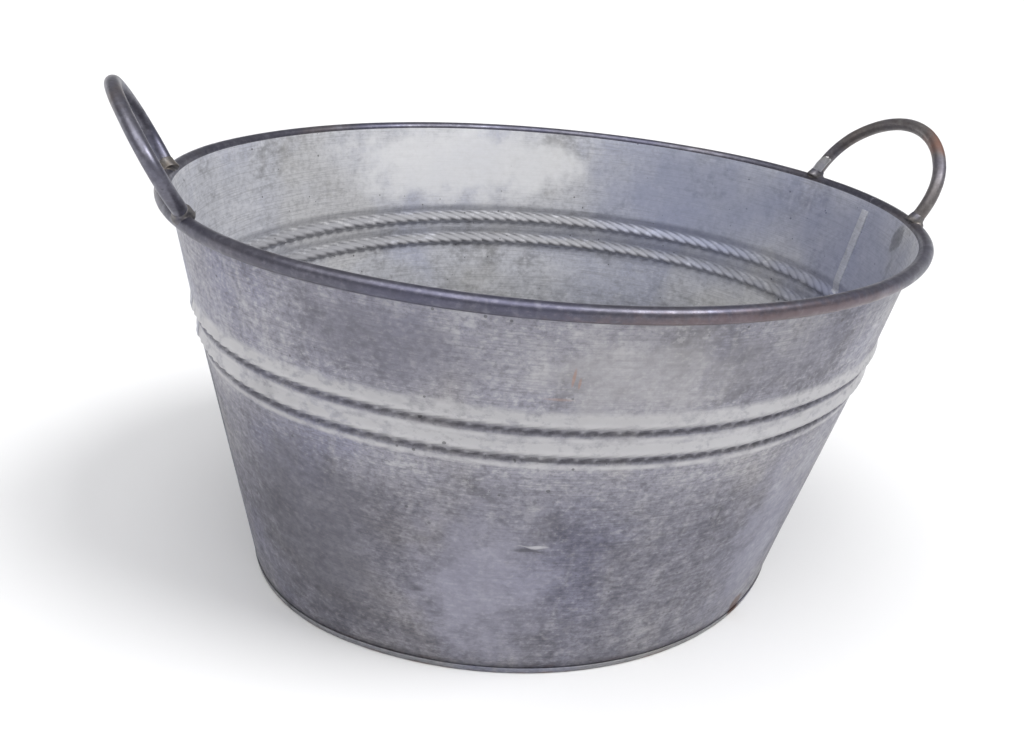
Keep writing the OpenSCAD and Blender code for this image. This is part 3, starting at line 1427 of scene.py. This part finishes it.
def make_finishes() -> dict[str, bpy.types.Material]:
    """Makes every finish of the tub.

    Returns:
        The materials by what they cover.
    """
    # Hot-dip galvanised sheet, weathered outdoors: dull, patchy and violet-grey, with
    # painted highlight on the swages' ridges, painted shade in their grooves and painted
    # shade that darkens the wall below them.
    outside = WeatheredZinc(
        "galvanised_sheet_weathered_outside",
        light="#c0bfc1",
        middle="#9796a0",
        dark="#6d6c73",
        violet="#8f90a8",
        warm="#aaa6a2",
        # painted highlight on the swages' ridges
        ridge_highlight=1.35,
        # painted shade in the swages' grooves
        groove=0.36,
        speckle=0.5,
        # painted shade that darkens the wall below the swages
        shade_low=0.13,
        shade_high=0.198,
        shade=0.85,
        rust_low=0.003,
        rust_high=0.012,
        rust=0.35,
        spots=(
            Spot((-112, -183, 78), (42, 30, 62), "#aaa9b8", 0.5, 1.9, 0.6),
            # painted light on the lower right of the front
            Spot((120, -180, 95), (44, 40, 80), "#a2a2b2", 0.5, 1.9, 0.6),
            # painted shade on the lower left end of the wall
            Spot((-215, -109, 100), (60, 50, 80), "#5f5e66", 0.6, 1.6, 0.6),
            # a painted patch of sunlight and two painted shadows along the top of the front
            Spot((-40, -232, 262), (62, 30, 30), "#b4b2b3", 0.55, 1.7, 0.6),
            Spot((-190, -180, 268), (70, 40, 26), "#73727d", 0.6, 1.6, 0.6),
            Spot((70, -230, 268), (60, 40, 24), "#76757d", 0.45, 1.7, 0.6),
            Spot((-81, -225, 260), (0.9, 6, 6), "#ae8672", 0.5, 0.5, 0.4),
            Spot((-77, -226, 256), (0.8, 6, 3.6), "#ae8672", 0.45, 0.5, 0.4),
            Spot((-88, -224, 244), (9, 6, 1.0), "#b3988b", 0.4, 0.6, 0.5),
            Spot((129, -157, 12), (9, 9, 9), "#5b3d33", 0.85),
            # painted shade and painted highlight along the crease
            Spot((-83, -198, 121), (10, 9, 1.5), "#59585f", 0.7, 0.5, 0.4),
            Spot((-80, -198, 125), (9, 9, 1.2), "#c6c5c9", 0.7, 0.4, 0.4),
        ),
    )
    # The same sheet inside, paler than the outside: chalky, hardly metallic, with more
    # pinholes, painted shade in blue-grey on the right-hand wall, and a painted patch of
    # sunlight on the rear wall.
    inside = WeatheredZinc(
        "galvanised_sheet_weathered_inside",
        light="#f0f0f3",
        middle="#d2d3d9",
        dark="#97979b",
        violet="#b4b9d2",
        warm="#d8d6d0",
        pits=0.8,
        pit_spacing=9.0,
        # painted shade on the swages' strands, which face up into the light
        groove=1.7,
        groove_drop=1.6 * MM,
        groove_reach=5.4 * MM,
        # painted shade that darkens the lower wall towards the floor
        shade_low=0.12,
        shade_high=0.196,
        shade=0.9,
        shade_tint="#a2a2a2",
        metallic=0.15,
        rough_low=0.5,
        rough_high=0.72,
        seed=5.0,
        spots=(
            # painted patch of sunlight on the rear wall
            Spot((10, 235, 275), (120, 60, 34), "#ffffff", 0.75, 1.5, 0.4),
            # painted shade in blue-grey on the right-hand inner wall
            Spot((215, 140, 265), (90, 90, 60), "#99a0bd", 0.6, 1.4, 0.6),
            Spot((280, -30, 258), (70, 90, 66), "#868cab", 0.6, 1.4, 0.6),
            # painted shade in the hollow under the bead, by the right handle's front foot
            Spot((268, -84, 291), (6, 12, 12), "#5e5e62", 0.6),
        ),
    )
    # The same sheet folded flat in the seams: the fold rubs it cleaner than the wall.
    seam = replace(
        inside,
        name="galvanised_sheet_folded_seam",
        light="#e6e7ee",
        middle="#c6c8d1",
        dark="#a3a4ac",
        pits=0.2,
        groove=0.0,
        spots=(),
    )
    # Galvanised sheet rolled round the rim wire: hands rubbed it dark, so it is smoother
    # than the wall and carries a soft highlight, with a brown cast in front.
    bead = WeatheredZinc(
        "galvanised_sheet_rubbed_dark_on_the_rim",
        light="#85848f",
        middle="#5e5d68",
        dark="#4a4953",
        violet="#5b5b72",
        warm="#756c68",
        cloud=40.0,
        brushing=0.1,
        pits=0.4,
        pit_spacing=7.0,
        metallic=0.75,
        rough_low=0.30,
        rough_high=0.48,
        seed=9.0,
        spots=(Spot((60, -245, 301), (130, 40, 7), "#8b7068", 0.35, 1.4, 0.5),),
    )
    # Round bar, bent cold and dipped: rubbed dark and smooth by hands.
    rod = WeatheredZinc(
        "galvanised_bar_rubbed_dark",
        light="#8b8a94",
        middle="#6b6a74",
        dark="#4e4d55",
        violet="#5e5f78",
        warm="#7d716a",
        cloud=30.0,
        brushing=0.15,
        pits=0.5,
        pit_spacing=6.0,
        metallic=0.75,
        rough_low=0.32,
        rough_high=0.5,
        seed=13.0,
    )
    # The same bar where the zinc wore through: browner and duller, with rust at the bend.
    rusty_rod = WeatheredZinc(
        "galvanised_bar_rubbed_to_rust",
        light="#94908f",
        middle="#75706f",
        dark="#55504f",
        violet="#666577",
        warm="#83736a",
        cloud=30.0,
        brushing=0.15,
        pits=0.5,
        pit_spacing=6.0,
        metallic=0.65,
        rough_low=0.38,
        rough_high=0.58,
        seed=15.0,
        spots=(Spot((322, -62, 362), (22, 30, 24), "#8a6252", 0.75),),
    )
    # Galvanised sheet that stood wet on the ground: darker and stained, rusty at the fold.
    plate = WeatheredZinc(
        "galvanised_sheet_stained_bottom",
        light="#a5a5a6",
        middle="#87878a",
        dark="#616165",
        violet="#82849a",
        warm="#94908a",
        brushing=0.0,
        pits=0.9,
        pit_spacing=10.0,
        rust_low=0.0005,
        rust_high=0.003,
        rust=0.7,
        seed=19.0,
        spots=(Spot((129, -157, 3), (9, 9, 8), "#563a31", 0.9),),
    )
    # Brazing metal, melted on and left to tarnish: small lumps with a dark, brownish sheen.
    braze = WeatheredZinc(
        "brazing_metal_tarnished_grey",
        light="#8e8b87",
        middle="#6f6c6c",
        dark="#47454a",
        violet="#5c5d76",
        warm="#85796a",
        cloud=9.0,
        brushing=0.0,
        pits=0.8,
        pit_spacing=4.0,
        metallic=0.7,
        rough_low=0.34,
        rough_high=0.6,
        seed=23.0,
    )
    # Galvanised sheet torn not long ago: brighter and shinier than all round it.
    strap = WeatheredZinc(
        "galvanised_sheet_freshly_torn",
        light="#e2e0de",
        middle="#c9c7c6",
        dark="#918f90",
        violet="#b3b3c4",
        warm="#c8beb4",
        cloud=14.0,
        brushing=0.1,
        pits=0.2,
        metallic=0.8,
        rough_low=0.25,
        rough_high=0.42,
        seed=27.0,
    )
    # Drawn iron wire, galvanised: even and dark; hardly any of it can be seen.
    wire = WeatheredZinc(
        "drawn_iron_wire_galvanised",
        light="#8a8a8e",
        middle="#6c6c70",
        dark="#4c4c50",
        violet="#606074",
        warm="#7c736c",
        cloud=20.0,
        brushing=0.0,
        pits=0.3,
        metallic=0.8,
        seed=29.0,
    )
    finishes = {
        "outside": outside,
        "inside": inside,
        "bead": bead,
        "rod": rod,
        "rusty_rod": rusty_rod,
        "plate": plate,
        "seam": seam,
        "braze": braze,
        "strap": strap,
        "roll_inside": wire,
    }
    return {covers: finish.build() for covers, finish in finishes.items()}


# ---------------------------------------------------------------- studio


@dataclass
class Studio:
    """A pale floor that sweeps up all round, soft lights and the camera."""

    floor_colour: str = "#ededed"
    room_colour: str = "#f2f3fa"
    room_strength: float = 0.24
    floor_radius: float = 7.0
    sweep_radius: float = 2.5
    lens: float = 35.87
    eye: Vector = field(default_factory=lambda: Vector((-0.3286, -0.7054, 0.4986)))
    heading: float = 0.4098
    tilt: float = 0.42
    roll: float = 0.1085

    def build(self) -> None:
        """Makes the floor, the lights, the world and the camera."""
        self.floor()
        self.light("key_light", (0.75, -0.7, 1.7), 24.0, 1.9)
        self.light("top_light", (-0.3, -0.2, 1.0), 50.0, 1.9)
        world = bpy.data.worlds.new("soft_room")
        world.use_nodes = True
        background = world.node_tree.nodes["Background"]
        background.inputs[0].default_value = linear(self.room_colour)
        background.inputs[1].default_value = self.room_strength
        bpy.context.scene.world = world
        bpy.context.scene.view_settings.view_transform = "Standard"
        self.camera()

    def floor(self) -> None:
        """Makes the floor, with a cove round its edge."""
        bm = bmesh.new()
        line = section_line(bm, [(0.0, 0.0, 0), (self.floor_radius, 0.0, 3)])
        edge = max(line, key=lambda v: v.co.x)
        bmesh.ops.spin(
            bm,
            geom=[edge],
            cent=(self.floor_radius, 0, self.sweep_radius),
            axis=(0, -1, 0),
            angle=math.pi / 2,
            steps=12,
        )
        bmesh.ops.spin(
            bm,
            geom=list(bm.verts) + list(bm.edges),
            cent=(0, 0, 0),
            axis=(0, 0, 1),
            angle=2 * math.pi,
            steps=96,
            use_merge=True,
        )
        bmesh.ops.remove_doubles(bm, verts=bm.verts, dist=MM)
        bmesh.ops.recalc_face_normals(bm, faces=bm.faces)
        for face in bm.faces:
            face.smooth = True
        mesh = bpy.data.meshes.new("floor")
        bm.to_mesh(mesh)
        bm.free()
        material = bpy.data.materials.new("matt_painted_floor")
        material.use_nodes = True
        shader = material.node_tree.nodes["Principled BSDF"]
        shader.inputs["Base Color"].default_value = linear(self.floor_colour)
        shader.inputs["Roughness"].default_value = 0.9
        mesh.materials.append(material)
        floor = bpy.data.objects.new("floor", mesh)
        bpy.context.scene.collection.objects.link(floor)

    @staticmethod
    def light(name: str, side: tuple, spread: float, strength: float) -> None:
        """Adds a broad, far light that reaches the whole floor evenly.

        Args:
            name: Its name.
            side: Direction that it shines from.
            spread: Angle that it fills, in degrees, which softens its shadows.
            strength: Strength in watts per square metre.
        """
        lamp = bpy.data.lights.new(name, "SUN")
        lamp.angle = math.radians(spread)
        lamp.energy = strength
        holder = bpy.data.objects.new(name, lamp)
        holder.location = side
        holder.rotation_euler = (-Vector(side)).to_track_quat("-Z", "Y").to_euler()
        bpy.context.scene.collection.objects.link(holder)

    def camera(self) -> None:
        """Adds the camera."""
        h, t, r = self.heading, self.tilt, self.roll
        ahead = Vector((math.sin(h) * math.cos(t), math.cos(h) * math.cos(t), -math.sin(t)))
        level = Vector((math.cos(h), -math.sin(h), 0))
        above = level.cross(ahead)
        right = math.cos(r) * level + math.sin(r) * above
        up = -math.sin(r) * level + math.cos(r) * above
        lens = bpy.data.cameras.new("camera")
        lens.lens = self.lens
        lens.sensor_width = 36.0
        holder = bpy.data.objects.new("camera", lens)
        turn = Matrix((right, up, -ahead)).transposed().to_4x4()
        holder.matrix_world = Matrix.Translation(self.eye) @ turn
        bpy.context.scene.collection.objects.link(holder)
        bpy.context.scene.camera = holder


def main() -> None:
    """Builds the tub, piece by piece, and the studio."""
    logging.basicConfig(level=logging.INFO, format="%(name)s: %(message)s")
    finishes = make_finishes()
    wall = Wall(finishes)
    for half in Half:
        wall.build(half)
    BottomSheet(finishes["plate"]).build()
    for end in End:
        LockSeam(finishes["seam"]).build(end)
    Handle(finishes["rod"]).build(End.LEFT)
    Handle(finishes["rusty_rod"]).build(End.RIGHT)
    for end in End:
        for front in (True, False):
            BrazedFoot(finishes["braze"]).build(end, front)
    TornStrap(finishes["strap"]).build()
    rim_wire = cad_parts["rim_wire"]
    rim_wire.data.materials.clear()
    rim_wire.data.materials.append(finishes["roll_inside"])
    LOG.info("rim_wire: carried over from the frame")
    Studio().build()


if __name__ == "__main__":
    main()
